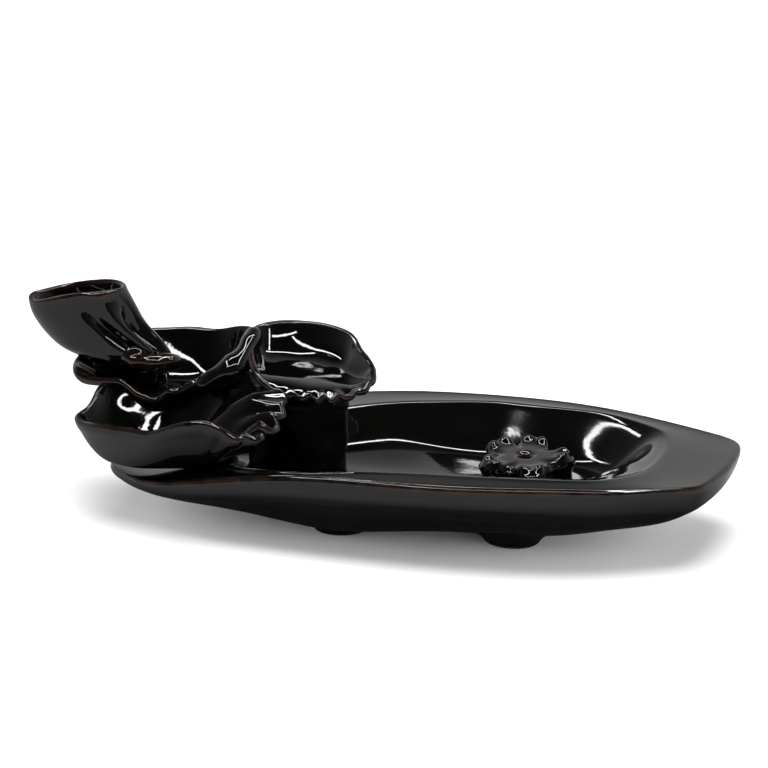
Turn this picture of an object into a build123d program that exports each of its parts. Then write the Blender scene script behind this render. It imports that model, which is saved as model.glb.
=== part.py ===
from build123d import *
import os
from math import cos, radians, sin, tan

# Backflow incense burner in glazed pottery: a boat-shaped dish on four pad feet,
# three leaf bowls that step up over its narrow end, a tilted cone cup with a spout
# above them, and a loose flower-shaped stick holder that stands on the dish floor.
#
# Frame: origin on the table plane below the middle of the whole burner, +X along the
# dish towards its blunt end, +Z up. Millimetres. The sizes below are measured from the
# middle of the dish, which lies DISH_MIDDLE_X from the origin, because the cup and the
# leaves reach out past the dish's narrow end.
DISH_MIDDLE_X = 17.1

# Dish hull: height, narrow end x, transom x, half beam, and the half widths of the
# narrow end and of the transom, at each level.
HULL_LEVELS = [
    (6.5, -84.0, 42.0, 25.0, 10.0, 14.0),
    (9.0, -105.0, 66.0, 34.5, 13.0, 20.0),
    (13.0, -116.0, 88.0, 41.0, 15.0, 24.0),
    (19.0, -120.0, 105.0, 46.5, 17.0, 28.0),
    (27.0, -122.0, 113.5, 49.3, 18.0, 30.5),
    (40.0, -123.0, 115.5, 50.5, 19.0, 32.0),
]
# Side curve of the hull: fraction of its length, fraction of the half beam.
SIDE_CURVE = [(0.15, 0.80), (0.33, 0.95), (0.51, 1.0), (0.69, 0.985), (0.85, 0.87)]
TRANSOM_SKEW = 13.0
NARROW_CORNER_R = 7.0
TRANSOM_FRONT_R = 5.0
TRANSOM_BACK_R = 11.0

# Sheer: x and height of the rim, which droops towards the narrow end.
SHEER = [
    (-130.0, 16.0),
    (-115.0, 18.5),
    (-60.0, 29.0),
    (-10.0, 34.2),
    (40.0, 35.2),
    (80.0, 34.7),
    (130.0, 32.0),
]

# Basin: height, x range and half width of each level.
FLOOR_Z = 19.0
BASIN_LEVELS = [
    (FLOOR_Z, -80.0, 71.0, 27.5),
    (22.0, -85.0, 76.5, 31.5),
    (28.0, -89.0, 83.0, 37.0),
    (38.0, -92.0, 91.0, 42.0),
]
BASIN_SQUARENESS = 0.8

# Feet: short pads that flare a little where they meet the hull.
FOOT_LEFT = (-25.5, 14.5)
FOOT_RIGHT = (40.0, 11.5)
FOOT_R = 10.4
FOOT_TOP_R = 11.2
FOOT_H = 7.5
FOOT_EDGE = 0.8

# Cone cup: centre, half length, half width and slopes of each outer level.
CUP_OUTER = [
    ((-135.5, 0.0, 80.5), 20.0, 12.5, 0.17, -0.17),
    ((-132.0, 0.0, 70.0), 20.5, 12.5, 0.12, -0.10),
    ((-123.5, 0.0, 60.5), 19.5, 11.5, 0.05, -0.05),
    ((-117.0, 0.5, 54.5), 15.0, 9.0, 0.0, 0.0),
    ((-112.5, 3.0, 45.0), 11.0, 8.0, 0.0, 0.0),
]
CUP_WALL = 3.0
SEAT_X = -129.0
SEAT_Z = 66.0
SEAT_R = 7.2
SMOKE_HOLE_R = 2.2

# Spout: centre, half width and half height of each cross-section along X.
SPOUT_SECTIONS = [
    ((-115.0, -5.5, 57.0), 6.0, 4.5),
    ((-104.0, -6.0, 56.5), 5.0, 4.2),
    ((-94.0, -6.0, 56.0), 3.6, 3.4),
]
SPOUT_TIP_FILLET = 2.0

# Leaf bowls: rim centre, half length, half width and slopes, then the same for the
# belly, and the number, depth and start angle of the lobes on the rim.
LEAF_WALL = 3.2
LOBE_POINTS = 36
UPPER_LEAF = dict(
    rim=((-104.5, 4.0, 55.5), 33.5, 19.5, 0.15, 0.38),
    waist=((-104.5, 4.5, 49.0), 28.0, 15.0, 0.10, 0.25),
    belly=((-103.5, 5.0, 42.5), 15.0, 9.0, 0.0, 0.1),
    lobes=(6, 0.05, 20.0),
)
FRONT_LEAF = dict(
    rim=((-91.0, -25.5, 43.0), 38.5, 18.5, 0.17, 0.16),
    waist=((-92.0, -24.5, 32.5), 30.0, 15.5, 0.12, 0.05),
    belly=((-94.0, -23.0, 23.5), 16.0, 10.0, 0.02, 0.0),
    lobes=(7, 0.05, -30.0),
)
RIGHT_LEAF = dict(
    rim=((-43.5, 0.5, 61.5), 25.0, 24.0, 0.0, 0.30),
    waist=((-44.0, 0.0, 54.0), 20.0, 19.0, 0.0, 0.22),
    belly=((-44.5, -1.0, 46.5), 12.0, 11.0, 0.0, 0.1),
    lobes=(5, 0.04, 60.0),
)

# Stems that carry the leaves: foot and top centres, foot and top radii.
REAR_STEM = ((-84.0, 10.0, FLOOR_Z - 1.5), (-94.0, 8.0, 46.0), 10.0, 8.0)
RIGHT_STEM = ((-50.0, 4.0, FLOOR_Z - 1.5), (-46.0, 0.0, 49.5), 11.5, 9.0)

# Knot: the lump of clay pressed in where the three leaves meet.
KNOT_CENTRE = (-71.0, -8.0, 53.5)
KNOT_R = 6.5

# Stick holder.
HOLDER_X = 39.5
HOLDER_Y = 5.0
HOLDER_H = 9.0
HOLDER_GAP = 0.05
HOLDER_CORE_R = 10.5
PETAL_COUNT = 5
PETAL_R = 6.3
PETAL_PITCH_R = 12.4
PETAL_START = 18.0
PETAL_FILLET = 2.6
STICK_HOLE_R = 1.8
STICK_HOLE_DEPTH = 6.5
DIMPLE_R = 1.5
DIMPLE_PITCH_R = 14.4
DIMPLE_SPREAD = 13.0


def tilted_plane(centre, slope_x, slope_y):
    """Plane through centre that rises by slope_x along +X and by slope_y along +Y."""
    return Plane(origin=centre, x_dir=(1, 0, slope_x), z_dir=(-slope_x, -slope_y, 1))


def signed_power(value, power):
    """Power of a number's size, with its sign kept."""
    return abs(value) ** power * (1 if value >= 0 else -1)


def side_points(x_low, x_transom, beam, low_half, transom_half, run):
    """One side of the hull at one level, from the narrow end to the transom corner."""
    points = [(x_low, low_half)]
    for along, across in SIDE_CURVE:
        points.append((x_low + along * (x_transom - x_low), across * beam))
    points.append((x_transom + run, transom_half))
    return points


def basin_outline(x_low, x_high, half_width):
    """Closed outline with blunt ends, the +X end skewed like the transom."""
    points = []
    for step in range(24):
        angle = radians(step * 15 + 7.5)
        along = signed_power(cos(angle), BASIN_SQUARENESS)
        across = signed_power(sin(angle), BASIN_SQUARENESS)
        x = (x_low + x_high) / 2 + along * (x_high - x_low) / 2
        y = across * half_width
        skew = max(along, 0) * y * tan(radians(TRANSOM_SKEW))
        points.append((x + skew, y))
    return points


def lobed_outline(half_length, half_width, lobes):
    """Ellipse whose radius swells and dips once for each lobe."""
    count, depth, start = lobes
    points = []
    for step in range(LOBE_POINTS):
        angle = 2 * 180 / LOBE_POINTS * step
        swell = 1 + depth * cos(radians(count * (angle - start)))
        points.append((
            half_length * swell * cos(radians(angle)),
            half_width * swell * sin(radians(angle)),
        ))
    return points


def closed_spline_face(points):
    """Face inside a smooth closed curve, on the current sketch."""
    with BuildLine() as outline:
        Spline(*points, periodic=True)
    make_face(outline.edges())


def make_leaf(rim, waist, belly, lobes):
    """Leaf bowl: a lofted shell with a lobed, tilted rim and an open top."""
    plain = (lobes[0], lobes[1] / 2, lobes[2])
    round_off = (lobes[0], 0.0, lobes[2])
    with BuildPart() as leaf:
        for level, ripple in ((rim, lobes), (waist, plain), (belly, round_off)):
            centre, half_length, half_width, slope_x, slope_y = level
            with BuildSketch(tilted_plane(centre, slope_x, slope_y)):
                closed_spline_face(lobed_outline(half_length, half_width, ripple))
        loft()
        for level, ripple, lift in ((rim, lobes, 1.0), (waist, plain, 1.5), (belly, round_off, LEAF_WALL)):
            centre, half_length, half_width, slope_x, slope_y = level
            with BuildSketch(tilted_plane(centre, slope_x, slope_y).offset(lift)):
                closed_spline_face(
                    lobed_outline(half_length - LEAF_WALL, half_width - LEAF_WALL, ripple)
                )
        loft(mode=Mode.SUBTRACT)
    return leaf.part


def make_stem(foot, top, foot_r, top_r):
    """Round tapering post between two horizontal ends."""
    with BuildPart() as stem:
        with BuildSketch(Plane.XY.move(Location(foot))):
            Circle(foot_r)
        with BuildSketch(Plane.XY.move(Location(top))):
            Circle(top_r)
        loft()
    return stem.part


def save(piece, name):
    """Set a finished piece in the burner's frame, label it and write its STEP file."""
    piece = piece.moved(Location((DISH_MIDDLE_X, 0, 0)))
    piece.label = name
    export_step(piece, f"parts/{name}.step")


os.makedirs("parts", exist_ok=True)

# Boat dish: lofted hull, trimmed to its two ends, with a lofted basin.
with BuildPart() as boat_dish:
    for level_z, x_low, x_transom, beam, low_half, transom_half in HULL_LEVELS:
        skew_run = transom_half * tan(radians(TRANSOM_SKEW))
        back_side = side_points(x_low, x_transom, beam, low_half, transom_half, skew_run)
        front_side = side_points(x_low, x_transom, beam, low_half, transom_half, -skew_run)
        with BuildSketch(Plane.XY.offset(level_z)):
            with BuildLine():
                Spline(*[(x, -y) for x, y in front_side])
                Line((front_side[-1][0], -front_side[-1][1]), back_side[-1])
                Spline(*reversed(back_side))
                Line(back_side[0], (front_side[0][0], -front_side[0][1]))
            make_face()
            fillet(vertices().group_by(Axis.X)[0], radius=NARROW_CORNER_R)
            fillet(vertices().group_by(Axis.X)[-1], radius=TRANSOM_BACK_R)
            fillet(vertices().sort_by(Axis.Y)[0], radius=TRANSOM_FRONT_R)
    loft()
    with BuildSketch(Plane.XZ.offset(-60)):
        with BuildLine():
            Spline(*SHEER)
            Polyline(SHEER[-1], (SHEER[-1][0], 0), (SHEER[0][0], 0), SHEER[0])
        make_face()
    extrude(amount=120, mode=Mode.INTERSECT)
    for level_z, x_low, x_high, half_width in BASIN_LEVELS:
        with BuildSketch(Plane.XY.offset(level_z)):
            closed_spline_face(basin_outline(x_low, x_high, half_width))
    loft(mode=Mode.SUBTRACT)
save(boat_dish.part, "boat_dish")

# Feet.
FOOT_PLACES = {
    "foot_front_left": (FOOT_LEFT[0], -FOOT_LEFT[1]),
    "foot_front_right": (FOOT_RIGHT[0], -FOOT_RIGHT[1]),
    "foot_back_left": FOOT_LEFT,
    "foot_back_right": FOOT_RIGHT,
}
for foot_name, (foot_x, foot_y) in FOOT_PLACES.items():
    with BuildPart() as foot:
        with BuildSketch(Plane.XY.move(Location((foot_x, foot_y, 0)))):
            Circle(FOOT_R)
        with BuildSketch(Plane.XY.move(Location((foot_x, foot_y, FOOT_H / 2)))):
            Circle(FOOT_R)
        with BuildSketch(Plane.XY.move(Location((foot_x, foot_y, FOOT_H)))):
            Circle(FOOT_TOP_R)
        loft()
        fillet(foot.edges().group_by(Axis.Z)[0], radius=FOOT_EDGE)
    save(foot.part, foot_name)

# Cone cup: lofted cup with a flat seat for the cone and a smoke hole below it.
with BuildPart() as cone_cup:
    for centre, half_length, half_width, slope_x, slope_y in CUP_OUTER:
        with BuildSketch(tilted_plane(centre, slope_x, slope_y)):
            Ellipse(half_length, half_width)
    loft()
    mouth_centre, mouth_length, mouth_width, mouth_slope_x, mouth_slope_y = CUP_OUTER[0]
    with BuildSketch(tilted_plane(mouth_centre, mouth_slope_x, mouth_slope_y).offset(1.0)):
        Ellipse(mouth_length - CUP_WALL, mouth_width - CUP_WALL)
    with BuildSketch(Plane.XY.move(Location((SEAT_X, 0, SEAT_Z)))):
        Circle(SEAT_R)
    loft(mode=Mode.SUBTRACT)
    with BuildSketch(Plane.XY.move(Location((SEAT_X, 0, SEAT_Z)))):
        Circle(SMOKE_HOLE_R)
    extrude(amount=-30, mode=Mode.SUBTRACT)
save(cone_cup.part, "cone_cup")

# Spout: the tongue of clay that runs out of the cup's foot over the upper leaf.
with BuildPart() as spout:
    for centre, half_width, half_height in SPOUT_SECTIONS:
        with BuildSketch(Plane(origin=centre, x_dir=(0, 1, 0), z_dir=(1, 0, 0))):
            Ellipse(half_width, half_height)
    loft()
    fillet(spout.edges().group_by(Axis.X)[-1], radius=SPOUT_TIP_FILLET)
save(spout.part, "smoke_spout")

# Leaf bowls.
save(make_leaf(**UPPER_LEAF), "upper_leaf")
save(make_leaf(**FRONT_LEAF), "front_leaf")
save(make_leaf(**RIGHT_LEAF), "right_leaf")

# Stems.
save(make_stem(*REAR_STEM), "rear_stem")
save(make_stem(*RIGHT_STEM), "right_stem")

# Knot between the leaves.
with BuildPart(Plane.XY.move(Location(KNOT_CENTRE))) as leaf_knot:
    Sphere(KNOT_R)
save(leaf_knot.part, "leaf_knot")

# Stick holder: five round petals about a core, with a blind hole for the stick.
with BuildPart() as stick_holder:
    holder_foot = Plane.XY.move(Location((HOLDER_X, HOLDER_Y, FLOOR_Z + HOLDER_GAP)))
    with BuildSketch(holder_foot):
        Circle(HOLDER_CORE_R)
        with PolarLocations(PETAL_PITCH_R, PETAL_COUNT, start_angle=PETAL_START):
            Circle(PETAL_R)
    extrude(amount=HOLDER_H)
    fillet(stick_holder.faces().sort_by(Axis.Z)[-1].edges(), radius=PETAL_FILLET)
    holder_top = holder_foot.offset(HOLDER_H)
    with BuildSketch(holder_top):
        Circle(STICK_HOLE_R)
    extrude(amount=-STICK_HOLE_DEPTH, mode=Mode.SUBTRACT)
    for side in (-DIMPLE_SPREAD, DIMPLE_SPREAD):
        with Locations(holder_top):
            with PolarLocations(DIMPLE_PITCH_R, PETAL_COUNT, start_angle=PETAL_START + side):
                Sphere(DIMPLE_R, mode=Mode.SUBTRACT)
save(stick_holder.part, "stick_holder")
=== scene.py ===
import math

import bpy
import numpy as np
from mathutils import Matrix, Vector


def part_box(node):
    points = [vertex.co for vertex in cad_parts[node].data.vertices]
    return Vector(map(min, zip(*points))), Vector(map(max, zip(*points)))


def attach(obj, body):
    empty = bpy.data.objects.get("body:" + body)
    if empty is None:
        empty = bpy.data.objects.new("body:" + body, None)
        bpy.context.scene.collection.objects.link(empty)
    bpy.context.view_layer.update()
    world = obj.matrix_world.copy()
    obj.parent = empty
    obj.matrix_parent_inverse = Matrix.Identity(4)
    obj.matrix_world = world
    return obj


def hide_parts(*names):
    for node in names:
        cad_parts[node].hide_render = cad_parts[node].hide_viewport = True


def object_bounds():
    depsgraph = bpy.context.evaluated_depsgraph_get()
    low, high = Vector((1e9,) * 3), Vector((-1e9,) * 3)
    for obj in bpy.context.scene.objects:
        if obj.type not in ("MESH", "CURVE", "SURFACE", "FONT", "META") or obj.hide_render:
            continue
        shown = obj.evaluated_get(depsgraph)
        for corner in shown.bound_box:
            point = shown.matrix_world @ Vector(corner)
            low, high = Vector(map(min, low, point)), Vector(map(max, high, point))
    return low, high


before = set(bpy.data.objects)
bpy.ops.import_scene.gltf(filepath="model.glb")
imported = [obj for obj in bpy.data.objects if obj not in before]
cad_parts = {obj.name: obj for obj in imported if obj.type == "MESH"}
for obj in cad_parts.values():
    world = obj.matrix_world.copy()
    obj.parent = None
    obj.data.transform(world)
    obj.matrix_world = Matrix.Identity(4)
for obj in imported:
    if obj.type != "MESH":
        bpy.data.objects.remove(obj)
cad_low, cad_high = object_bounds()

# A hand-built, black-glazed incense burner. Every piece is a closed skin of rings: a ring
# is one loop of points round the piece, and the skin runs from ring to ring. The first
# and last ring fold shut onto a spine, so that no skin has a pole. Lengths are metres,
# places are shares of a CAD node's box, and small sizes are written as n * MM.
MM = 0.001
BURNER = "burner"
HOLDER = "loose_holder"
SEED = 7


# ---------------------------------------------------------------- curves and fields

def box_of(node):
    """Lowest corner and size of a CAD node."""
    low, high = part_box(node)
    low = np.array(low)
    return low, np.array(high) - low


def in_box(node, shares):
    """Points given as shares of a node's box, in metres."""
    low, size = box_of(node)
    return low + np.asarray(shares, float) * size


def closed_curve(points, count):
    """Smooth closed curve through points: a uniform cubic B-spline, sampled count times."""
    points = np.asarray(points, float)
    n = len(points)
    system = np.zeros((n, n))
    for i in range(n):
        system[i, i] = 4 / 6
        system[i, (i - 1) % n] = 1 / 6
        system[i, (i + 1) % n] = 1 / 6
    hull = np.linalg.solve(system, points)
    t = np.arange(count) * n / count
    i = t.astype(int)
    f = (t - i)[:, None]
    before, here, after, beyond = (hull[(i + k) % n] for k in (-1, 0, 1, 2))
    return (
        before * (1 - f) ** 3
        + here * (3 * f**3 - 6 * f**2 + 4)
        + after * (-3 * f**3 + 3 * f**2 + 3 * f + 1)
        + beyond * f**3
    ) / 6


def spline(at, rows, x):
    """Natural cubic spline through one row of values for each place in at, read at x."""
    n = len(at)
    step = np.diff(at)
    system = np.eye(n)
    right = np.zeros_like(rows)
    for i in range(1, n - 1):
        system[i, i - 1 : i + 2] = step[i - 1], 2 * (step[i - 1] + step[i]), step[i]
        right[i] = 6 * ((rows[i + 1] - rows[i]) / step[i] - (rows[i] - rows[i - 1]) / step[i - 1])
    bend = np.linalg.solve(system, right)
    x = np.clip(np.asarray(x, float), at[0], at[-1])
    i = np.clip(np.searchsorted(at, x) - 1, 0, n - 2)
    h = step[i][..., None]
    a = (at[i + 1] - x)[..., None] / h
    b = (x - at[i])[..., None] / h
    curve = (a**3 - a) * bend[i] + (b**3 - b) * bend[i + 1]
    return a * rows[i] + b * rows[i + 1] + curve * h**2 / 6


def graph(table, x):
    """Smooth curve through the (x, y) rows of a table, read at x."""
    table = np.asarray(table, float)
    return spline(table[:, 0], table[:, 1:], x)[..., 0]


def ease(x, low, high):
    """0 below low, 1 above high, smooth between."""
    t = np.clip((np.asarray(x, float) - low) / (high - low), 0, 1)
    return t * t * (3 - 2 * t)


def hill(x, centre, width):
    """Smooth bump of height 1 at centre."""
    return np.exp(-(((np.asarray(x, float) - centre) / width) ** 2))


def around(u, centre, width):
    """hill() on a loop, where u runs from 0 to 1 and meets itself."""
    apart = (np.asarray(u, float) - centre + 0.5) % 1 - 0.5
    return np.exp(-((apart / width) ** 2))


def lumps(points, size, seed):
    """Soft random field between about -1 and 1, with lumps of the given size."""
    rng = np.random.default_rng(SEED + seed)
    points = np.asarray(points, float)
    total = np.zeros(points.shape[:-1])
    waves = 14
    for _ in range(waves):
        direction = rng.normal(size=3)
        direction /= np.linalg.norm(direction)
        reach = size * rng.uniform(0.8, 1.8)
        total += np.sin(points @ direction * 2 * math.pi / reach + rng.uniform(0, 2 * math.pi))
    return total / math.sqrt(waves)


def unit(vectors):
    """Vectors brought to length 1."""
    return vectors / np.linalg.norm(vectors, axis=-1, keepdims=True)


def grid_normals(rings):
    """Unit normals of a grid of rings, pointing to the left of the way the rings run."""
    along = np.gradient(rings, axis=0)
    round_ = (np.roll(rings, -1, axis=1) - np.roll(rings, 1, axis=1)) / 2
    normal = np.cross(along, round_)
    size = np.linalg.norm(normal, axis=2, keepdims=True)
    return normal / np.maximum(size, 1e-12)


def round_lip(first, last, crown, steps):
    """Rings on half circles from one ring to another, over the side that crown points to."""
    centre, half = (first + last) / 2, (first - last) / 2
    reach = np.linalg.norm(half, axis=1, keepdims=True)
    turns = np.linspace(0, math.pi, steps)[1:-1]
    return np.array([centre + half * math.cos(a) + crown * reach * math.sin(a) for a in turns])


def shares_round(count):
    """Place round the loop of each ring point, 0 to 1, starting on the +X side."""
    return np.arange(count) / count


# ---------------------------------------------------------------- meshes

def skin(name, rings, node, body, material, joined=False, thin=None, smooth=0):
    """Closed mesh through rings, standing for a CAD node and riding on its body.

    joined: the last ring runs on into the first. Otherwise both fold onto a spine, where
    point i and point count - i are one. thin: how thin the glaze is at each point.
    """
    rows, count = rings.shape[:2]
    index = np.arange(rows * count).reshape(rows, count)
    if not joined:
        mirrored = np.minimum(np.arange(count), (count - np.arange(count)) % count)
        for row in (0, rows - 1):
            index[row] = index[row][mirrored]
            rings[row] = rings[row][mirrored]
    used, compact = np.unique(index, return_inverse=True)
    compact = compact.reshape(index.shape)
    faces = []
    for row in range(rows if joined else rows - 1):
        here, there = compact[row], compact[(row + 1) % rows]
        for i in range(count):
            k = (i + 1) % count
            corners = [here[i], here[k], there[k], there[i]]
            faces.append(list(dict.fromkeys(int(c) for c in corners)))
    mesh = bpy.data.meshes.new(name)
    mesh.from_pydata([tuple(p) for p in rings.reshape(-1, 3)[used]], [], faces)
    mesh.validate()
    values = np.zeros((rows, count)) if thin is None else np.clip(thin, 0, 1)
    layer = mesh.attributes.new("thin", "FLOAT", "POINT")
    layer.data.foreach_set("value", values.reshape(-1)[used].astype(np.float32))
    turn_outwards(mesh)
    mesh.shade_smooth()
    mesh.materials.append(material)
    piece = bpy.data.objects.new(name, mesh)
    bpy.context.scene.collection.objects.link(piece)
    if smooth:
        rounding = piece.modifiers.new("rounding", "SUBSURF")
        rounding.levels = rounding.render_levels = smooth
    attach(piece, body)
    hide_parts(node)


def turn_outwards(mesh):
    """Flip a closed mesh if its volume reads as negative."""
    corners = np.array([v.co for v in mesh.vertices])
    mesh.calc_loop_triangles()
    tris = np.array([t.vertices for t in mesh.loop_triangles])
    a, b, c = corners[tris[:, 0]], corners[tris[:, 1]], corners[tris[:, 2]]
    if np.einsum("ij,ij->i", a, np.cross(b, c)).sum() < 0:
        mesh.flip_normals()


# ---------------------------------------------------------------- materials

def remap(tree, value, low, high, to_low=0.0, to_high=1.0):
    """A shader value moved from the range low to high onto the range to_low to to_high."""
    ranged = tree.nodes.new("ShaderNodeMapRange")
    ends = {"From Min": low, "From Max": high, "To Min": to_low, "To Max": to_high}
    for socket, number in ends.items():
        ranged.inputs[socket].default_value = number
    tree.links.new(value, ranged.inputs["Value"])
    return ranged.outputs["Result"]


def product(tree, first, second):
    """Two shader values multiplied."""
    times = tree.nodes.new("ShaderNodeMath")
    times.operation = "MULTIPLY"
    tree.links.new(first, times.inputs[0])
    tree.links.new(second, times.inputs[1])
    return times.outputs["Value"]


def bump(tree, height, strength, distance, under=None):
    """Shading normal bent by a height, on top of the normal in under."""
    bent = tree.nodes.new("ShaderNodeBump")
    bent.inputs["Strength"].default_value = strength
    bent.inputs["Distance"].default_value = distance
    tree.links.new(height, bent.inputs["Height"])
    if under is not None:
        tree.links.new(under, bent.inputs["Normal"])
    return bent.outputs["Normal"]


def glaze_material(name, body_colour, thin_colour, roughness, waviness, ior=1.52):
    """Mirror-bright glaze that breaks to the clay's colour where the thin attribute is high."""
    material = bpy.data.materials.new(name)
    material.use_nodes = True
    tree = material.node_tree
    nodes, links = tree.nodes, tree.links
    shader = nodes["Principled BSDF"]
    shader.inputs["IOR"].default_value = ior
    place = nodes.new("ShaderNodeTexCoord").outputs["Object"]

    def noise(scale, detail, distortion=0.0):
        texture = nodes.new("ShaderNodeTexNoise")
        for socket, number in (("Scale", scale), ("Detail", detail), ("Distortion", distortion)):
            texture.inputs[socket].default_value = number
        links.new(place, texture.inputs["Vector"])
        return texture.outputs["Fac"]

    # Colour: thin glaze breaks to brown in patches.
    thin = nodes.new("ShaderNodeAttribute")
    thin.attribute_name = "thin"
    patches = remap(tree, noise(160.0, 3.0, 0.6), 0.38, 0.66)
    breaking = product(tree, thin.outputs["Fac"], patches)
    mix = nodes.new("ShaderNodeMix")
    mix.data_type = "RGBA"
    links.new(breaking, mix.inputs["Factor"])
    mix.inputs["A"].default_value = (*body_colour, 1)
    mix.inputs["B"].default_value = (*thin_colour, 1)
    links.new(mix.outputs["Result"], shader.inputs["Base Color"])

    dull = remap(tree, noise(70.0, 4.0), 0.3, 0.75, roughness, roughness * 2.2)
    links.new(dull, shader.inputs["Roughness"])

    # Relief: faint pinholes, and a slow swell that bends the reflections.
    pits = nodes.new("ShaderNodeTexVoronoi")
    pits.inputs["Scale"].default_value = 260.0
    links.new(place, pits.inputs["Vector"])
    pinholes = bump(tree, remap(tree, pits.outputs["Distance"], 0.05, 0.14), 0.12, 0.05 * MM)
    swell = bump(tree, noise(95.0, 3.0), waviness, 0.35 * MM, pinholes)
    links.new(swell, shader.inputs["Normal"])
    return material


BLACK = glaze_material("black_glaze", (0.0018, 0.0017, 0.0016), (0.018, 0.0075, 0.004), 0.03, 0.30)
BROWN = glaze_material("brown_glaze", (0.0032, 0.0016, 0.0013), (0.009, 0.0036, 0.0024), 0.05, 0.5)
SATIN = glaze_material("dish_glaze", (0.0026, 0.0025, 0.0023), (0.024, 0.011, 0.0065), 0.04, 0.18)
# Painted shade: a darker, duller glaze with weak reflections, for the stems in the shade under the
# leaves.
PAINTED_SHADE_GLAZE = glaze_material("painted_shade_glaze", (0.0012, 0.0011, 0.0010), (0.010, 0.005, 0.003), 0.25, 0.3, 1.2)
FOOT = glaze_material("foot_glaze", (0.0022, 0.0021, 0.0020), (0.10, 0.043, 0.028), 0.05, 0.3)


# ---------------------------------------------------------------- boat dish

HULL_POINTS = 288
HALF = HULL_POINTS // 2
BASIN_FINE = 40  # points between neighbouring places of the basin's edge

# Plan of the rim: share of the length, share of the half beam.
RIM_PLAN = [(0.0, 0.34), (0.06, 0.61), (0.164, 0.84), (0.331, 0.95), (0.497, 1.0), (0.663, 0.99),
            (0.809, 0.88), (0.93, 0.69), (1.0, 0.54)]
# Inner edge of the flat rim, as shares of the dish's length and width, from the blunt end
# along the back to the narrow end, then back along the front.
BASIN_BACK = [(0.875, 0.52), (0.875, 0.64), (0.862, 0.745), (0.825, 0.81), (0.755, 0.878),
              (0.66, 0.89), (0.588, 0.905), (0.51, 0.878), (0.43, 0.845), (0.33, 0.78), (0.23, 0.70),
              (0.15, 0.60)]
BASIN_FRONT = [(0.115, 0.50), (0.13, 0.36), (0.19, 0.21), (0.28, 0.105), (0.36, 0.055),
               (0.43, 0.075), (0.535, 0.10), (0.66, 0.105), (0.75, 0.13), (0.803, 0.175),
               (0.838, 0.255), (0.862, 0.36)]
# The blunt end is cut askew, and bulges over this half width.
TRANSOM_SLOPE = math.tan(math.radians(10))
TRANSOM_HALF = 27 * MM
# Sheer: share of the length, share of the dish's height.
SHEER = [(0.0, 0.40), (0.06, 0.455), (0.25, 0.785), (0.455, 0.962), (0.66, 1.0), (0.83, 0.98),
         (1.0, 0.915)]
# Flat of the keel: its ends as shares of the length, and its share of the half beam.
KEEL_ENDS = (0.15, 0.68)
KEEL_HALF = 0.5
# Basin floor, as a share of the dish's height, and the rings on it and on the wall. It climbs
# by SILT towards the back, away from the blunt end, and meets the wall within SILT_BLEND.
FLOOR_SHARE = 0.437
FLOOR_STEPS = (0.0, 0.12, 0.3, 0.5, 0.7, 0.86, 0.96)
WALL_DEPTHS = (1.0, 0.97, 0.93, 0.88, 0.82, 0.74, 0.65, 0.55, 0.44, 0.33, 0.22, 0.13, 0.06)
SILT = 4.2 * MM
SILT_BLEND = 1.2 * MM
# Side of the hull: share of the way out from the keel, share of the height.
HULL_SIDE = [(0.0, 0.0), (0.2, 0.06), (0.4, 0.16), (0.55, 0.265), (0.7, 0.40), (0.82, 0.52),
             (0.91, 0.615), (0.96, 0.70), (0.985, 0.80), (1.0, 1.0)]
HULL_NARROW = [(0.0, 0.0), (0.25, 0.13), (0.5, 0.285), (0.7, 0.435), (0.85, 0.58), (0.94, 0.70),
               (0.98, 0.82), (1.0, 1.0)]
HULL_BLUNT = [(0.0, 0.0), (0.25, 0.065), (0.5, 0.165), (0.7, 0.305), (0.85, 0.47), (0.94, 0.63),
              (0.98, 0.79), (1.0, 1.0)]
# Basin wall: share of the depth, share of the way in.
WALL_STEEP = [(0.0, 0.0), (0.25, 0.215), (0.5, 0.43), (0.7, 0.60), (0.84, 0.73), (0.93, 0.84),
              (1.0, 1.0)]
WALL_SOFT = [(0.0, 0.0), (0.12, 0.22), (0.3, 0.40), (0.5, 0.55), (0.75, 0.74), (0.9, 0.88), (1.0, 1.0)]


def resample(line, count):
    """Open line resampled to count even steps, the last point left out."""
    lengths = np.concatenate([[0], np.cumsum(np.linalg.norm(np.diff(line, axis=0), axis=1))])
    at = np.linspace(0, lengths[-1], count + 1)[:-1]
    return np.stack([np.interp(at, lengths, line[:, k]) for k in range(line.shape[1])], axis=1)


def soften(loop, width):
    """Closed loop smoothed along itself over about width."""
    step = np.linalg.norm(np.roll(loop, -1, axis=0) - loop, axis=1).mean()
    reach = int(3 * width / step) + 1
    weights = np.exp(-((np.arange(-reach, reach + 1) * step / width) ** 2) / 2)
    weights /= weights.sum()
    return sum(w * np.roll(loop, k, axis=0) for w, k in zip(weights, range(-reach, reach + 1)))


def two_sided(back, front):
    """Loop from a back outline, blunt end to narrow end, and a front outline the other way."""
    return np.concatenate([resample(back, HALF), resample(front, HALF)])


def rim_outline(low, size):
    """Outer edge of the rim, its long axis on y = 0, and how far each point is on the blunt end."""
    share = np.linspace(1, 0, 400)
    along, across = low[0] + 0.975 * size[0] * share, size[1] / 2 * graph(RIM_PLAN, share)
    side = np.stack([along, across], axis=1)
    back = np.concatenate([[[side[0, 0], 0]], side, [[side[-1, 0], 0]]])
    rim = two_sided(back, back[::-1] * [1, -1])
    blunt = ease(rim[:, 0], low[0] + 0.8 * size[0], low[0] + size[0])
    bulge = 3.0 * MM - 3.5 * MM * (rim[:, 1] / TRANSOM_HALF) ** 2
    rim[:, 0] += blunt * (rim[:, 1] * TRANSOM_SLOPE + bulge)
    to_back = ease(rim[:, 1], -5 * MM, 5 * MM)[:, None]
    return soften(rim, 3.2 * MM) * (1 - to_back) + soften(rim, 5.0 * MM) * to_back, blunt


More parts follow.
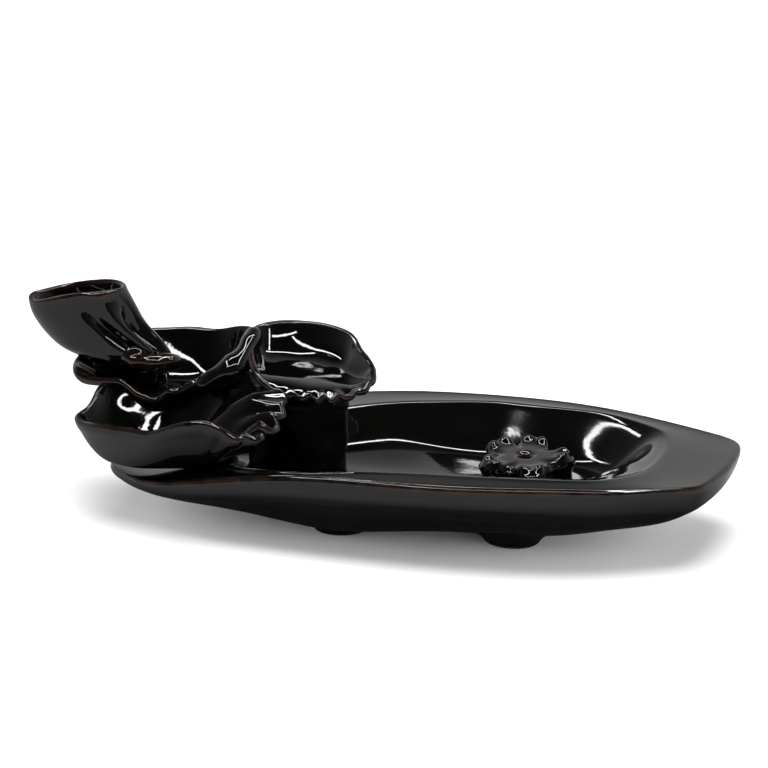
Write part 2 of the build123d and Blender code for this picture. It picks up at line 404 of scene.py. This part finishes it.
def basin_outline(low, size):
    """Inner edge of the rim, laid out like rim_outline()."""
    control = np.array(BASIN_BACK + BASIN_FRONT) * size[:2] + [low[0], -size[1] / 2]
    smooth = closed_curve(control, len(control) * BASIN_FINE)
    smooth = np.concatenate([smooth, smooth[:1]])
    narrow = len(BASIN_BACK) * BASIN_FINE
    return two_sided(smooth[: narrow + 1], smooth[narrow:])


def boat_dish():
    """One skin: the basin's floor and wall, the flat rim, the hull's side and its flat keel."""
    low, size = box_of("boat_dish")
    beam = size[1] / 2
    middle_y = low[1] + beam
    rim, blunt = rim_outline(low, size)
    basin = basin_outline(low, size)

    def height(x):
        return low[2] + size[2] * graph(SHEER, (x - low[0]) / size[0])

    u = shares_round(HULL_POINTS)
    turn = (1 + np.cos(2 * math.pi * u)) / 2
    spine = np.stack([low[0] + size[0] * (0.26 + 0.42 * turn), np.zeros(HULL_POINTS)], axis=1)

    # Edge of the floor, stepped in from the basin's edge; the wall is soft near the blunt end.
    floor_z = low[2] + FLOOR_SHARE * size[2]
    soft = np.clip(around(u, 0.96, 0.10) + around(u, 0.86, 0.07), 0, 1)
    left = around(u, 0.5, 0.12)
    inset = 19 * MM + 14 * MM * soft * around(u, 0.98, 0.09) + 2 * MM * soft + 4 * MM * left
    inset = inset[:, None]
    inward = spine - basin
    inward[:, 0] *= 0.35 + 0.65 * np.clip(around(u, 0.0, 0.1) + left, 0, 1)
    inward = unit(inward)
    floor = basin + inward * inset

    rings, thin = [], []

    def add(plan, z, thinness=0.0):
        rings.append(np.column_stack([plan[:, 0], plan[:, 1] + middle_y, z * np.ones(HULL_POINTS)]))
        thin.append(thinness * np.ones(HULL_POINTS))

    # Basin, from the middle of its floor out to its edge.
    for t in FLOOR_STEPS:
        add(spine + (floor - spine) * t, floor_z)
    edge_z = height(basin[:, 0])
    blend = soft[:, None]
    for depth in WALL_DEPTHS:
        way_in = graph(WALL_STEEP, depth) * (1 - blend) + graph(WALL_SOFT, depth) * blend
        add(basin + inward * inset * way_in, edge_z + (floor_z - edge_z) * depth)
    basin_rings = len(rings)

    # Flat rim, from the basin's rounded edge to its own.
    add(basin + inward * 0.15 * MM, edge_z - 0.45 * MM, 0.1)
    add(basin - inward * 0.5 * MM, edge_z - 0.1 * MM, 0.15)
    add(basin - inward * 1.3 * MM, edge_z + 0.05 * MM)
    camber = 1.3 * MM * ease(-rim[:, 1], 0.3 * beam, 0.8 * beam) * (1 - blunt)
    for t in (0.25, 0.45, 0.65, 0.85):
        plan = basin + (rim - basin) * t
        add(plan, height(plan[:, 0]) - 0.3 * MM * math.sin(math.pi * t) - camber * t * t)
    shrink = unit(spine - rim)
    rim_z = height(rim[:, 0]) - camber
    add(rim + shrink * 1.7 * MM, rim_z + 0.1 * MM, 0.15)
    add(rim + shrink * 0.8 * MM, rim_z - 0.15 * MM, 0.8)
    add(rim + shrink * 0.2 * MM, rim_z - 0.8 * MM, 1.0)

    # Hull, from the rim down to the edge of the keel, then the keel.
    share_x = (rim[:, 0] - low[0]) / size[0]
    first, last = (low[0] + size[0] * end for end in KEEL_ENDS)
    fuller = 0.92 + 0.5 * ease(share_x, 0.62, 0.40) * ease(share_x, 0.17, 0.40)
    keel_y = KEEL_HALF * fuller * rim[:, 1] * ease(np.abs(rim[:, 1]), 0, beam * 0.5)
    keel_x = np.clip(rim[:, 0] * 0.72 + (first + (last - first) * turn) * 0.28, first, last)
    keel = soften(np.stack([keel_x, keel_y], axis=1), 4 * MM)
    keel_z = low[2] + 0.2 * MM
    narrow_end, blunt_end = ease(share_x, 0.26, 0.02), ease(share_x, 0.62, 0.88)
    for g in 1 - np.linspace(0, 1, 26)[1:] ** 1.7:
        plan = keel + (rim - keel) * g
        rise = graph(HULL_SIDE, g) * (1 - narrow_end - blunt_end)
        rise = rise + graph(HULL_NARROW, g) * narrow_end + graph(HULL_BLUNT, g) * blunt_end
        add(plan, keel_z + (rim_z - 1.4 * MM - keel_z) * rise)
    for t in (0.7, 0.4, 0.15, 0.0):
        add(spine + (keel - spine) * t, keel_z)

    # The floor's climb, which sinks into the wall without a crease.
    rings = np.array(rings)
    inside = rings[:basin_rings]
    rise = SILT * ease(inside[..., 1] - middle_y, -0.1 * beam, 0.55 * beam)
    rise = rise * ease(inside[..., 0], low[0] + 0.59 * size[0], low[0] + 0.42 * size[0])
    depth = (inside[..., 2] - floor_z) / SILT_BLEND
    climb = np.logaddexp(0, rise / SILT_BLEND - depth) - np.logaddexp(0, -depth)
    inside[..., 2] += SILT_BLEND * climb
    rings[:, :, 2] += 0.25 * MM * lumps(rings, 55 * MM, 1)
    skin("dish", rings, "boat_dish", BURNER, SATIN, thin=np.array(thin), smooth=1)


# ---------------------------------------------------------------- leaf bowls

LEAF_POINTS = 264
LEAF_ROWS = 36
LEAF_WALL = 2.6 * MM


def leaf_bowl(name, node, rim, spine, power, seed, ruffles=(), thick=(), shelves=(), unevenness=0.5):
    """Leaf bowl with a round lip.

    rim: loop of places in the node's box, from the +X side. spine: its two ends, +X first.
    power: how late the wall turns up, and at which place it does so by how much more.
    ruffles: (place, reach, waves, out, up, where they begin, 0 at the spine and 1 at the edge).
    thick: (place, reach, extra wall).
    shelves: (place, reach), where the wall levels off before the rim.
    """
    u = shares_round(LEAF_POINTS)
    edge = closed_curve(in_box(node, rim), LEAF_POINTS)
    start, end = in_box(node, spine)
    middle = (start + end) / 2
    edge[:, :2] -= unit(edge[:, :2] - middle[:2]) * LEAF_WALL / 2
    rib = start + (end - start) * ((1 - np.cos(2 * math.pi * u)) / 2)[:, None]
    t = 1 - (1 - np.linspace(0, 1, LEAF_ROWS)[:, None]) ** 1.4
    late = power[0] + sum(more * around(u, place, reach) for place, reach, more in power[1:])

    # Inside of the bowl, from the spine out to the edge.
    inner = np.empty((LEAF_ROWS, LEAF_POINTS, 3))
    inner[..., :2] = rib[:, :2] + (edge - rib)[:, :2] * t[..., None]
    climb = t**late
    for place, reach in shelves:
        level = around(u, place, reach)
        climb = climb * (1 - level) + (1 - (1 - t) ** 2.4) * level
    inner[..., 2] = rib[:, 2] + (edge - rib)[:, 2] * climb
    outward = unit(edge[:, :2] - rib[:, :2])
    for place, reach, waves, out, up, begin in ruffles:
        swing = np.sin(2 * math.pi * waves * (u - place)) * around(u, place, reach)
        fade = ease(t, begin, 1.0)
        inner[..., :2] += (out * fade * swing)[..., None] * outward
        inner[..., 2] += up * fade * swing
    inner[..., 2] += unevenness * MM * lumps(inner, 16 * MM, seed) * ease(t, 0.1, 0.8)

    # Outside, one wall away along the normals, and the round lip between the two.
    normal = grid_normals(inner)
    if normal[LEAF_ROWS // 3, :, 2].mean() < 0:
        normal = -normal
    normal[0] = normal[1]
    depth = LEAF_WALL * (1 + 0.18 * hill(t, 0.97, 0.06)) * np.ones(LEAF_POINTS)
    for place, reach, extra in thick:
        depth = depth + extra * around(u, place, reach) * ease(t, 0.3, 0.9)
    outer = inner - normal * depth[..., None]
    crown = inner[-1] - inner[-4]
    crown = unit(crown - normal[-1] * (crown * normal[-1]).sum(axis=1, keepdims=True))
    lip = round_lip(inner[-1], outer[-1], crown, 11)
    rings = np.concatenate([inner, lip, outer[::-1]])
    thin = np.zeros(rings.shape[:2])
    thin[LEAF_ROWS - 1 : LEAF_ROWS + len(lip) + 1] = 0.6
    skin(name, rings, node, BURNER, BLACK, thin=thin)


def leaves():
    """The three leaf bowls, which step down from under the cup to the dish."""
    rim = [(1.019, 0.553, 0.942), (1.019, 0.803, 1.055), (0.808, 0.948, 0.956), (0.613, 0.961, 0.92),
           (0.402, 0.935, 0.875), (0.207, 0.843, 0.762), (0.087, 0.711, 0.649), (0.026, 0.553, 0.559),
           (0.008, 0.408, 0.482), (0.042, 0.276, 0.469), (0.102, 0.21, 0.401), (0.162, 0.171, 0.356),
           (0.252, 0.131, 0.392), (0.372, 0.079, 0.379), (0.508, 0.005, 0.167), (0.598, -0.001, 0.212),
           (0.688, 0.013, 0.356), (0.778, 0.065, 0.469), (0.883, 0.171, 0.604), (0.989, 0.316, 0.785)]
    spine = [(0.748, 0.447, 0.234), (0.267, 0.474, 0.198)]
    leaf_bowl("upper_leaf_bowl", "upper_leaf", rim, spine, (2.2, (0.25, 0.16, -0.75)), seed=2,
              ruffles=[(0.76, 0.09, 13, 0.5 * MM, 0.7 * MM, 0.8)], thick=[(0.49, 0.05, 2.0 * MM)])

    rim = [(1.094, 0.386, 1.003), (1.088, 0.625, 1.15), (0.991, 0.838, 1.224), (0.849, 0.984, 1.205),
           (0.681, 1.037, 1.022), (0.461, 1.024, 0.801), (0.267, 0.971, 0.82), (0.132, 0.931, 0.893),
           (0.095, 0.785, 0.812), (0.073, 0.625, 0.665), (0.048, 0.493, 0.607), (0.112, 0.346, 0.588),
           (0.228, 0.214, 0.64), (0.422, 0.081, 0.662), (0.564, 0.001, 0.768), (0.694, -0.026, 0.911),
           (0.823, 0.001, 0.919), (0.946, 0.067, 0.739), (1.049, 0.187, 0.812)]
    spine = [(0.603, 0.439, 0.115), (0.254, 0.532, 0.03)]
    power = (2.0, (0.64, 0.15, 1.0), (0.34, 0.15, -0.85))
    leaf_bowl("front_leaf_bowl", "front_leaf", rim, spine, power, seed=3,
              ruffles=[(0.955, 0.06, 25, 2.2 * MM, -2.2 * MM, 0.5)], shelves=[(0.04, 0.09)])

    rim = [(0.956, 0.547, 0.661), (0.828, 0.72, 0.792), (0.719, 0.86, 0.915), (0.502, 0.957, 0.98),
           (0.265, 0.979, 0.989), (0.078, 0.914, 0.959), (-0.011, 0.763, 0.902), (0.019, 0.569, 0.77),
           (0.088, 0.374, 0.639), (0.187, 0.18, 0.53), (0.315, 0.083, 0.42), (0.482, 0.029, 0.376),
           (0.66, 0.018, 0.376), (0.818, 0.04, 0.411), (0.976, 0.148, 0.455), (1.025, 0.353, 0.551)]
    spine = [(0.719, 0.396, 0.477), (0.325, 0.396, 0.49)]
    leaf_bowl("right_leaf_bowl", "right_leaf", rim, spine, (4.4,), seed=4,
              ruffles=[(0.79, 0.12, 22, 0.9 * MM, -0.7 * MM, 0.8)], unevenness=0.25)


# ---------------------------------------------------------------- cone cup

CUP_POINTS = 220
CUP_ROWS = 46
CUP_WALL = 2.6 * MM
CUP_MOUTH = [(0.739, 0.5, 0.959), (0.674, 0.761, 0.964), (0.525, 0.921, 0.944), (0.339, 0.961, 0.903),
             (0.172, 0.873, 0.862), (0.051, 0.681, 0.837), (0.004, 0.46, 0.827), (0.06, 0.26, 0.807),
             (0.19, 0.099, 0.857), (0.376, 0.011, 0.928), (0.544, 0.011, 0.964), (0.684, 0.2, 0.969)]
# Ovals below the mouth: centre in the node's box, half sizes in mm, slope along X.
CUP_OVALS = [((0.404, 0.5, 0.761), 20.3, 12.6, 0.14), ((0.466, 0.5, 0.621), 20.2, 12.6, 0.12),
             ((0.544, 0.5, 0.495), 20.9, 12.2, 0.08), ((0.633, 0.5, 0.381), 20.4, 11.5, 0.05),
             ((0.721, 0.54, 0.266), 17.5, 10.0, 0.0), ((0.758, 0.58, 0.152), 12.5, 8.5, 0.0),
             ((0.795, 0.621, 0.038), 11.0, 8.0, 0.0)]
CUP_SEAT = (0.488, 0.5, 0.533)
SEAT_R = 7.2 * MM
SMOKE_HOLE_R = 2.2 * MM


def cone_cup():
    """One joined skin: the folded outside, the lip, the inside, the seat and its smoke hole."""
    u = shares_round(CUP_POINTS)
    round_angle = 2 * math.pi * u
    disc = np.column_stack([np.cos(round_angle), np.sin(round_angle), np.zeros(CUP_POINTS)])
    mouth = closed_curve(in_box("cone_cup", CUP_MOUTH), CUP_POINTS)

    # Outside, from the mouth down.
    levels = [mouth]
    for centre, half_x, half_y, slope in CUP_OVALS:
        loop = in_box("cone_cup", centre) + disc * [half_x * MM, half_y * MM, 0]
        loop[:, 2] += slope * half_x * MM * disc[:, 0]
        levels.append(loop)
    level_at = np.linspace(0, 1, len(levels))
    rows = np.array(levels).reshape(len(levels), -1)
    outer = spline(level_at, rows, np.linspace(0, 1, CUP_ROWS)).reshape(CUP_ROWS, CUP_POINTS, 3)
    depth = np.linspace(0, 1, CUP_ROWS)[:, None]
    outward = outer - outer.mean(axis=1, keepdims=True)
    outward[..., 2] = 0
    outward = unit(outward)
    folds = (
        -4.6 * around(u, 0.842 + 0.12 * (depth - 0.35), 0.026) * hill(depth, 0.42, 0.26)
        + 1.6 * around(u, 0.885 + 0.08 * (depth - 0.4), 0.024) * hill(depth, 0.42, 0.3)
        - 4.4 * around(u, 0.945 + 0.03 * (depth - 0.4), 0.026) * hill(depth, 0.38, 0.2)
        + 1.0 * around(u, 0.995, 0.03) * hill(depth, 0.4, 0.3)
    )
    outer += outward * (folds * MM)[..., None]
    outer += outward * (0.35 * MM * lumps(outer, 18 * MM, 5) * ease(depth, 0.05, 0.3))[..., None]

    # Inside, from the mouth down to the seat, then the smoke hole and the underside.
    seat = in_box("cone_cup", CUP_SEAT)
    inside_mouth = mouth - outward[0] * CUP_WALL
    lip = round_lip(mouth, inside_mouth, np.array([0, 0, 1]), 9)
    inner = []
    for t in np.linspace(0, 1, 22):
        ring = inside_mouth + (seat + disc * SEAT_R - inside_mouth) * t
        ring[:, :2] += outward[0][:, :2] * (2.0 * MM * math.sin(math.pi * t))
        inner.append(ring)
    steps = (0.12, 0.4, 0.7, 0.92, 1.0)
    inner += [seat + disc * (SEAT_R + (SMOKE_HOLE_R - SEAT_R) * t) for t in steps]
    for down in (0.6, 3, 6, 9, 12, 15):
        inner.append(seat + disc * SMOKE_HOLE_R - [0, 0, down * MM])
    shaft_end, foot = inner[-1], outer[-1]
    under = [shaft_end + (foot - shaft_end) * t for t in (0.3, 0.6, 0.85)]
    rings = np.concatenate([outer[::-1], lip, inner, under])

    # The glaze is thin on the lip, and on the inside below it at the back.
    thin = np.zeros(rings.shape[:2])
    lip_end = CUP_ROWS + len(lip)
    thin[CUP_ROWS - 2 : lip_end + 2] = 0.9
    below_lip = slice(lip_end, lip_end + 12)
    thin[below_lip] = np.maximum(thin[below_lip], around(u, 0.12, 0.12))
    skin("cone_cup_body", rings, "cone_cup", BURNER, BLACK, joined=True, thin=thin)


# ---------------------------------------------------------------- spout, stems and knot

ROD_POINTS = 96
ROD_ROWS = 48


def rod(name, node, path, radii, lumpiness, lump_size, seed, material=BLACK,
        squash=1.0, thin=0.0, dome_share=1.0):
    """Rounded, lumpy rod with domed ends, along places in its node's box. Radii are in mm.

    squash: its height over its width. dome_share: how far a dome reaches, in radii.
    """
    path = in_box(node, path)
    at = np.linspace(0, 1, len(path))
    along = (1 - np.cos(np.linspace(0, math.pi, ROD_ROWS))) / 2
    centres = spline(at, path, along)
    widths = np.interp(along, at, np.array(radii) * MM)
    run = np.concatenate([[0], np.cumsum(np.linalg.norm(np.diff(centres, axis=0), axis=1))])
    to_end = np.minimum(run, run[-1] - run)
    dome = np.sqrt(np.clip(1 - (1 - np.clip(to_end / (widths * dome_share), 0, 1)) ** 2, 0, 1))
    half = (widths * dome)[:, None, None]

    heading = unit(np.gradient(centres, axis=0))
    upright = abs(heading[ROD_ROWS // 2, 2]) >= 0.7
    guide = np.array([0, 1.0, 0]) if upright else np.array([0, 0, 1.0])
    side = unit(np.cross(heading, guide))
    top = np.cross(side, heading)
    angle = 2 * math.pi * shares_round(ROD_POINTS)[None, :, None]
    spread = side[:, None] * (np.cos(angle) * half) + top[:, None] * (np.sin(angle) * half * squash)
    rings = centres[:, None] + spread
    away = spread / np.maximum(np.linalg.norm(spread, axis=2, keepdims=True), 1e-9)
    rings += away * (lumpiness * lumps(rings, lump_size, seed) * dome[:, None])[..., None]
    for end in (0, -1):
        rings[end] = centres[end]
    skin(name, rings, node, BURNER, material, thin=np.full(rings.shape[:2], thin))


def rods():
    """The brown spout, the two stems in the leaves' shade, whose darker glaze is painted shade, and the
    knot between the leaves.
    """
    path = [(-0.048, 0.625, 0.728), (0.286, 0.458, 0.565), (0.619, 0.417, 0.511),
            (0.905, 0.458, 0.511), (1.095, 0.5, 0.62)]
    rod("spout_tongue", "smoke_spout", path, (6.5, 5.6, 4.6, 3.8, 3.0), 0.8 * MM, 6 * MM, 11,
        BROWN, squash=0.85, thin=0.6)
    # Both stems wear the painted-shade glaze, darker than the rest, for the shade under the leaves.
    path = [(0.643, 0.5, -0.158), (0.536, 0.5, 0.263), (0.464, 0.475, 0.649), (0.393, 0.45, 1.018)]
    rod("rear_stem_post", "rear_stem", path, (13.5, 12, 11.5, 12), 0.8 * MM, 14 * MM, 12,
        PAINTED_SHADE_GLAZE, squash=0.8, dome_share=0.3)
    path = [(0.469, 0.571, -0.141), (0.51, 0.531, 0.266), (0.551, 0.449, 0.703), (0.633, 0.367, 1.109)]
    rod("right_stem_post", "right_stem", path, (20.5, 19, 18.5, 19), 1.0 * MM, 14 * MM, 13,
        PAINTED_SHADE_GLAZE, squash=0.75, dome_share=0.3)
    path = [(-0.501, 0.192, 0.231), (0.038, 0.385, 0.538), (0.5, 0.731, 0.769),
            (0.692, 1.424, 1.115), (0.654, 2.194, 1.462)]
    rod("leaf_knot_lump", "leaf_knot", path, (3.2, 4.0, 5.6, 4.2, 3.6), 0.45 * MM, 10 * MM, 14)


# ---------------------------------------------------------------- feet

FOOT_POINTS = 96
# Side of a foot: share of its radius, share of its height, up to where it is inside the hull.
FOOT_SIDE = [(0.0, 0.0), (0.4, 0.0), (0.76, 0.0), (0.88, 0.0), (0.93, 0.03), (0.96, 0.10), (1.0, 0.20),
             (1.08, 0.34), (1.2, 0.52), (1.36, 0.71), (1.54, 0.90), (1.74, 1.06), (1.94, 1.2),
             (1.6, 1.35), (0.8, 1.35), (0.0, 1.35)]


def feet():
    """Round pads that flow out into the hull above them."""
    keel = box_of("boat_dish")[1][1] / 2 * KEEL_HALF
    angle = 2 * math.pi * shares_round(FOOT_POINTS)
    for node in ("foot_front_left", "foot_front_right", "foot_back_left", "foot_back_right"):
        low, size = box_of(node)
        centre = low + size / 2 - [1.5 * MM, 0, 0]
        wobble = 1 + 0.02 * np.sin(3 * angle + centre[0] * 400)
        rings, thin = [], []
        for radius, height in FOOT_SIDE:
            r = radius * size[0] / 2 * wobble
            x, y = centre[0] + r * np.cos(angle), centre[1] + r * np.sin(angle)
            lift = 0.30 * np.clip(np.abs(y) - keel, 0, None) * ease(height, 0.5, 1.0)
            rings.append(np.column_stack([x, y, low[2] + height * size[2] + lift]))
            thin.append(np.full(FOOT_POINTS, float(ease(0.16 - height, 0, 0.08))))
        name = node.replace("foot_", "pad_")
        skin(name, np.array(rings), node, BURNER, FOOT, thin=np.array(thin), smooth=1)


# ---------------------------------------------------------------- stick holder

HOLDER_POINTS = 320
# Directions of the lobes and half the width of one, in degrees; how far lobes and dips reach.
LOBES = (14, 86, 143, 222, 291)
LOBE_HALF = 13
LOBE_REACH = 18.2 * MM
DIP_REACH = 13.4 * MM
STICK_HOLE_R = 2.1 * MM
STICK_HOLE_EDGE = 1.35 * STICK_HOLE_R


def lobed_outline(angle):
    """How far the flower reaches in each direction."""
    control = []
    for k, lobe in enumerate(LOBES):
        following = LOBES[(k + 1) % len(LOBES)] + (360 if k == len(LOBES) - 1 else 0)
        dip = (lobe + following) / 2
        reaches = {lobe - LOBE_HALF: LOBE_REACH, lobe + LOBE_HALF: LOBE_REACH, dip: DIP_REACH}
        for turn, reach in reaches.items():
            a = math.radians(turn)
            control.append((reach * math.cos(a), reach * math.sin(a)))
    loop = closed_curve(control, 1200)
    turn = np.arctan2(loop[:, 1], loop[:, 0]) % (2 * math.pi)
    order = np.argsort(turn)
    return np.interp(angle, turn[order], np.hypot(loop[:, 0], loop[:, 1])[order], period=2 * math.pi)


def stick_holder():
    """Five-lobed flower with a blind hole for a stick and raised beads on its lobes."""
    low, size = box_of("stick_holder")
    centre = in_box("stick_holder", (0.5, 0.466, 0))
    base, top = low[2], low[2] + size[2]
    angle = 2 * math.pi * shares_round(HOLDER_POINTS)
    direction = np.column_stack([np.cos(angle), np.sin(angle)])
    outline = lobed_outline(angle)
    petal = (outline - outline.min()) / (outline.max() - outline.min())

    # Two beads on each lobe: place and height.
    beads = []
    for k, lobe in enumerate(LOBES):
        pair = ((-LOBE_HALF, 14.6, 1.0 - 0.15 * (k % 2)), (LOBE_HALF, 15.2, 0.6 + 0.1 * k))
        for turn, reach, strength in pair:
            a = math.radians(lobe + turn)
            beads.append((reach * math.cos(a) * MM, reach * math.sin(a) * MM, strength))
    one = np.ones(HOLDER_POINTS)
    rings = []

    def add(radius, z):
        plan = centre[:2] + (radius * one)[:, None] * direction
        rings.append(np.column_stack([plan, z * one]))

    # Stick hole, from its blind end up to its rounded edge.
    for r in (0.0, 0.5, 1.0):
        add(r * STICK_HOLE_R, top - 6.5 * MM)
    for z in (5.5, 4.4, 3.3, 2.2):
        add(STICK_HOLE_R, top - z * MM)
    add(STICK_HOLE_R * 1.12, top - 1.3 * MM)
    add(STICK_HOLE_EDGE, top - 0.7 * MM)
    thin_rings = len(rings) + 1

    # Top, which rises on the lobes, falls off at the rim and tips up a little at the back.
    for t in np.linspace(0.1, 0.95, 28):
        radius = STICK_HOLE_EDGE + (outline - STICK_HOLE_EDGE) * t
        x, y = radius * direction[:, 0], radius * direction[:, 1]
        z = top - 0.3 * MM * one
        z += (0.9 * petal * ease(t, 0.35, 0.9) - 0.5 * (1 - petal) * ease(t, 0.3, 0.9)) * MM
        z -= 1.9 * MM * ease(t, 0.80, 1.0)
        z += 0.05 * y
        for bead_x, bead_y, strength in beads:
            away = np.hypot(x - bead_x, y - bead_y)
            z += strength * 1.5 * MM * np.exp(-((away / (2.4 * MM)) ** 3))
        add(radius, z)

    # Rim, side and flat base.
    add(outline, top - 2.6 * MM + 0.9 * MM * petal + 0.05 * outline * direction[:, 1])
    add(outline * 0.99, top - 3.6 * MM)
    for z, pull in ((0.50, 0.965), (0.38, 0.94), (0.24, 0.93), (0.12, 0.935), (0.03, 0.94)):
        add(outline * pull, base + z * size[2])
    for pull in (0.92, 0.6, 0.3, 0.0):
        add(outline * pull, base)
    rings = np.array(rings)
    thin = np.zeros(rings.shape[:2])
    thin[:thin_rings] = 1.0
    skin("flower_stick_holder", rings, "stick_holder", HOLDER, BLACK, thin=thin)


# ---------------------------------------------------------------- stage, light, camera

# Frame of strip lamps over the burner: its size, the width of a strip and the distance.
FRAME_WIDTH, FRAME_DEPTH, STRIP, FRAME_AWAY = 0.58, 0.60, 0.042, 0.62
FRAME_CLIMB = math.radians(88)
FRAME_TURN = math.radians(10)
LAMP_WATTS = 72  # for each square metre


def paper_sheet():
    """White paper under the burner. In the glaze it is painted dark grey, darkest close by: painted
    shade in its reflection.
    """
    half = 6.0
    corners = [(-half, -half, 0), (half, -half, 0), (half, half, 0), (-half, half, 0)]
    floor_mesh = bpy.data.meshes.new("studio_floor")
    floor_mesh.from_pydata(corners, [], [(0, 1, 2, 3)])
    floor = bpy.data.objects.new("studio_floor", floor_mesh)
    floor.location.z = -0.02 * MM
    bpy.context.scene.collection.objects.link(floor)

    paper = bpy.data.materials.new("studio_paper")
    paper.use_nodes = True
    tree = paper.node_tree
    nodes, links = tree.nodes, tree.links
    shader = nodes["Principled BSDF"]
    shader.inputs["Roughness"].default_value = 0.6
    shader.inputs["Specular IOR Level"].default_value = 0.0
    # Painted shade in the reflections: glossy rays see the paper as grey, darkest in an oval round the
    # burner, not white.
    seen_by = nodes.new("ShaderNodeLightPath")
    tone = nodes.new("ShaderNodeMix")
    tone.data_type = "RGBA"
    tone.inputs["A"].default_value = (0.88, 0.88, 0.88, 1)
    where = nodes.new("ShaderNodeNewGeometry")
    shade_oval = nodes.new("ShaderNodeMapping")
    shade_oval.inputs["Scale"].default_value = (1 / 0.115, 1 / 0.062, 0)
    shade_oval.inputs["Location"].default_value = (-0.22, 0, 0)
    links.new(where.outputs["Position"], shade_oval.inputs["Vector"])
    away = nodes.new("ShaderNodeVectorMath")
    away.operation = "LENGTH"
    links.new(shade_oval.outputs["Vector"], away.inputs[0])
    mirrored = remap(tree, away.outputs["Value"], 0.95, 1.5, 0.055, 0.34)
    painted_shade_grey = nodes.new("ShaderNodeCombineColor")
    for channel in ("Red", "Green", "Blue"):
        links.new(mirrored, painted_shade_grey.inputs[channel])
    links.new(painted_shade_grey.outputs["Color"], tone.inputs["B"])
    links.new(seen_by.outputs["Is Glossy Ray"], tone.inputs["Factor"])
    links.new(tone.outputs["Result"], shader.inputs["Base Color"])
    floor_mesh.materials.append(paper)


def light_tent():
    """World: white to the camera, a soft front wall in the glaze, low side walls on the paper."""
    world = bpy.data.worlds.new("light_tent")
    bpy.context.scene.world = world
    world.use_nodes = True
    tree = world.node_tree
    nodes, links = tree.nodes, tree.links
    background = nodes["Background"]
    background.inputs["Color"].default_value = (1, 1, 1, 1)
    place = nodes.new("ShaderNodeTexCoord")
    split = nodes.new("ShaderNodeSeparateXYZ")
    links.new(place.outputs["Generated"], split.inputs["Vector"])
    x, y, z = (split.outputs[axis] for axis in "XYZ")

    front_wall = remap(tree, z, 0.33, 0.84, 0.70, 0.012)
    mirrored = product(tree, front_wall, remap(tree, y, -0.6, 0.5, 0.08, 1.0))
    low_walls = remap(tree, z, 0.25, 0.75, 6.5, 0.3)
    sideways = nodes.new("ShaderNodeMath")
    sideways.operation = "ABSOLUTE"
    links.new(x, sideways.inputs[0])
    side_walls = remap(tree, sideways.outputs["Value"], 0.40, 0.90, 0.04, 1.0)
    fill = product(tree, low_walls, side_walls)

    seen_by = nodes.new("ShaderNodeLightPath")

    def switch(ray, strength):
        """Mix that passes strength on, and gives its input B to one kind of ray."""
        mix = nodes.new("ShaderNodeMix")
        mix.data_type = "FLOAT"
        links.new(seen_by.outputs[ray], mix.inputs["Factor"])
        links.new(strength, mix.inputs["A"])
        return mix

    for_paper = switch("Is Diffuse Ray", mirrored)
    links.new(fill, for_paper.inputs["B"])
    for_camera = switch("Is Camera Ray", for_paper.outputs["Result"])
    for_camera.inputs["B"].default_value = 1.0
    links.new(for_camera.outputs["Result"], background.inputs["Strength"])


def lamps():
    """A soft light from above for the paper, and a rectangle of four strips for the glaze."""
    sun = bpy.data.lights.new("soft_top_light", "SUN")
    sun.angle = math.radians(40)
    sun.energy = 3.2
    top = bpy.data.objects.new("soft_top_light", sun)
    top.visible_glossy = False
    bpy.context.scene.collection.objects.link(top)

    tip = Vector((0.02, -math.cos(FRAME_CLIMB), math.sin(FRAME_CLIMB))).normalized()
    across = Vector((math.cos(FRAME_TURN), math.sin(FRAME_TURN), 0))
    upward = across.cross(tip)
    hub = (cad_low + cad_high) / 2 + tip * FRAME_AWAY
    for name, offset, size_x, size_y in (
        ("lamp_top", upward * FRAME_DEPTH / 2, FRAME_WIDTH, STRIP),
        ("lamp_bottom", -upward * FRAME_DEPTH / 2, FRAME_WIDTH, STRIP),
        ("lamp_left", -across * FRAME_WIDTH / 2, STRIP, FRAME_DEPTH),
        ("lamp_right", across * FRAME_WIDTH / 2, STRIP, FRAME_DEPTH),
    ):
        light = bpy.data.lights.new(name, "AREA")
        light.shape = "RECTANGLE"
        light.size, light.size_y = size_x, size_y
        light.energy = LAMP_WATTS * size_x * size_y
        lamp = bpy.data.objects.new(name, light)
        lamp.location = hub + offset
        lamp.rotation_mode = "QUATERNION"
        lamp.rotation_quaternion = (-tip).to_track_quat("-Z", "Y")
        lamp.visible_diffuse = False
        bpy.context.scene.collection.objects.link(lamp)


def camera():
    """Long lens from the front, a little to the right and above."""
    azimuth, elevation, distance = math.radians(14), math.radians(19), 0.98
    target = cad_low + (cad_high - cad_low) * Vector((0.511, 0.5, 0.63))
    ahead = math.cos(elevation)
    back = Vector((math.sin(azimuth) * ahead, -math.cos(azimuth) * ahead, math.sin(elevation)))
    lens = bpy.data.cameras.new("camera")
    lens.sensor_width = 36
    lens.lens = 121.9
    lens.clip_start, lens.clip_end = 0.05, 50
    eye = bpy.data.objects.new("camera", lens)
    eye.location = target + back * distance
    eye.rotation_mode = "QUATERNION"
    eye.rotation_quaternion = (-back).to_track_quat("-Z", "Y")
    bpy.context.scene.collection.objects.link(eye)
    bpy.context.scene.camera = eye


boat_dish()
leaves()
cone_cup()
rods()
feet()
stick_holder()
paper_sheet()
light_tent()
lamps()
camera()
bpy.context.scene.view_settings.view_transform = "Standard"
